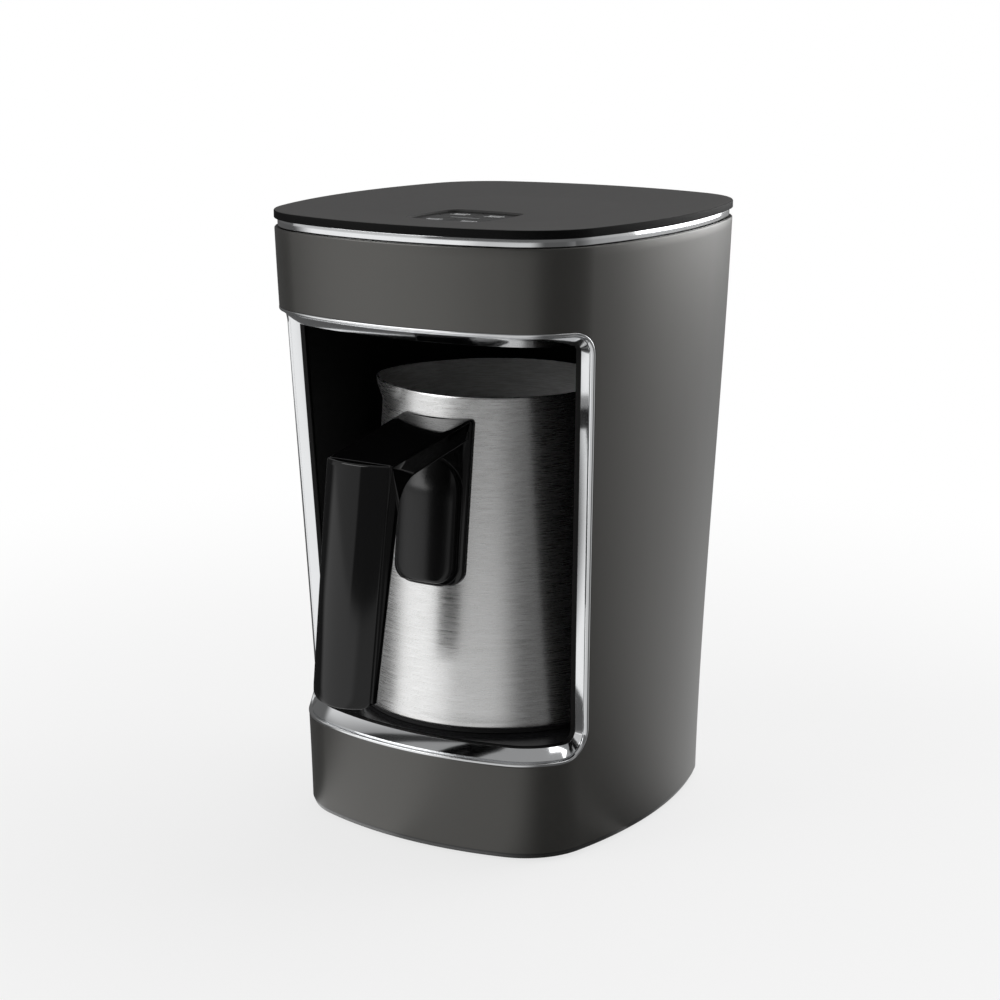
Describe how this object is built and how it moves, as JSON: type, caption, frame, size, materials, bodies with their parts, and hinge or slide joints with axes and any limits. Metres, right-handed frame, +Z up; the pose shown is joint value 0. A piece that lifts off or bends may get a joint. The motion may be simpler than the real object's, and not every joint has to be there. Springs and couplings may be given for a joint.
{
  "type": "electric turkish coffee maker",
  "caption": "Compact electric Turkish coffee maker: tapered body, open front chamber over a heating plate, lift-out conical steel pot with a handle, push keys in a dished lid.",
  "frame": {"origin": "on the plane that the feet stand on, under the middle of the whole object's box, handle included", "axes": "+Z up; the chamber opens and the pot's handle points towards -Y; +X is to the right of a person who stands in front of the machine and looks at it"},
  "size_m": [0.1582, 0.2069, 0.2461],
  "materials": {
    "body_paint": "satin warm dark grey metallic paint",
    "chrome_trim": "bright polished chrome plating",
    "chamber_black": "matt black heat-resistant plastic",
    "floor_black": "satin-gloss near-black plastic",
    "plate_black": "dark non-stick coated cast plate",
    "lid_black": "fine-grained dark grey plastic",
    "panel_black": "glossy black control panel",
    "key_black": null,
    "light_guide": "translucent white light guide",
    "handle_black": "glossy black moulded handle",
    "pot_steel": "horizontally brushed stainless steel",
    "steel_sheet": "plain steel sheet",
    "screw_steel": "zinc-plated steel screws",
    "disc_aluminium": "turned aluminium base disc",
    "rubber_black": "black rubber",
    "silicone_red": "red-brown silicone seal",
    "board_green": "green circuit board",
    "component_dark": "dark component cases",
    "component_blue": "blue component cases",
    "led_clear": "clear light-emitting diodes",
    "lens_dark": "smoked infrared lens",
    "wire_grey": "grey wire bundle"
  },
  "bodies": {
    "housing": {"outer_housing": "body_paint", "front_bezel": "chrome_trim", "cavity_liner": "chamber_black", "pot_platform": "floor_black", "heating_plate": "plate_black", "plate_seal": "silicone_red", "heating_element": "steel_sheet", "heat_shield": "steel_sheet", "thermostat": "component_dark", "thermal_fuse": "component_blue", "fuse_clip": "steel_sheet", "temperature_sensor": "component_dark", "shield_screws": "screw_steel", "base_cover": "chamber_black", "base_screws": "screw_steel", "foot_front_left": "rubber_black", "foot_front_right": "rubber_black", "foot_rear_left": "rubber_black", "foot_rear_right": "rubber_black", "cord_gland": "rubber_black", "trim_ring": "chrome_trim", "top_cover": "lid_black", "control_panel": "panel_black", "tact_switches": "component_dark", "light_bar": "light_guide", "light_guide_holder": "component_dark", "status_leds": "led_clear", "buzzer": "component_dark", "control_board": "board_green", "control_board_screws": "screw_steel", "lid_screws": "screw_steel", "power_board": "board_green", "transformer": "component_dark", "relay": "component_blue", "filter_capacitor": "component_blue", "terminal_block": "component_dark", "board_screws": "screw_steel", "sensor_window": "lens_dark", "sensor_bracket": "steel_sheet", "foam_sensor": "component_dark", "sensor_screws": "screw_steel", "element_harness": "wire_grey", "panel_harness": "wire_grey"},
    "pot": {"pot_body": "pot_steel", "pot_base_disc": "disc_aluminium", "pot_base_ring": "rubber_black", "handle_bracket": "steel_sheet", "handle_body": "handle_black", "handle_cover": "handle_black", "handle_pad": "handle_black", "handle_screws": "screw_steel"},
    "key_left_front": {"key_left_front": "key_black", "switch_plunger_left_front": "component_dark"},
    "key_right_front": {"key_right_front": "key_black", "switch_plunger_right_front": "component_dark"},
    "key_left_rear": {"key_left_rear": "key_black", "switch_plunger_left_rear": "component_dark"},
    "key_right_rear": {"key_right_rear": "key_black", "switch_plunger_right_rear": "component_dark"}
  },
  "joints": [
    {"name": "pot_slide", "type": "slide", "parent": "housing", "child": "pot", "axis": [0, -1, 0], "range_m": [0, 0.16]},
    {"name": "key_left_front_press", "type": "slide", "parent": "housing", "child": "key_left_front", "axis": [0, 0, -1], "range_m": [0, 0.0008], "stiffness_N_per_m": 600},
    {"name": "key_right_front_press", "type": "slide", "parent": "housing", "child": "key_right_front", "axis": [0, 0, -1], "range_m": [0, 0.0008], "stiffness_N_per_m": 600},
    {"name": "key_left_rear_press", "type": "slide", "parent": "housing", "child": "key_left_rear", "axis": [0, 0, -1], "range_m": [0, 0.0008], "stiffness_N_per_m": 600},
    {"name": "key_right_rear_press", "type": "slide", "parent": "housing", "child": "key_right_rear", "axis": [0, 0, -1], "range_m": [0, 0.0008], "stiffness_N_per_m": 600}
  ]
}
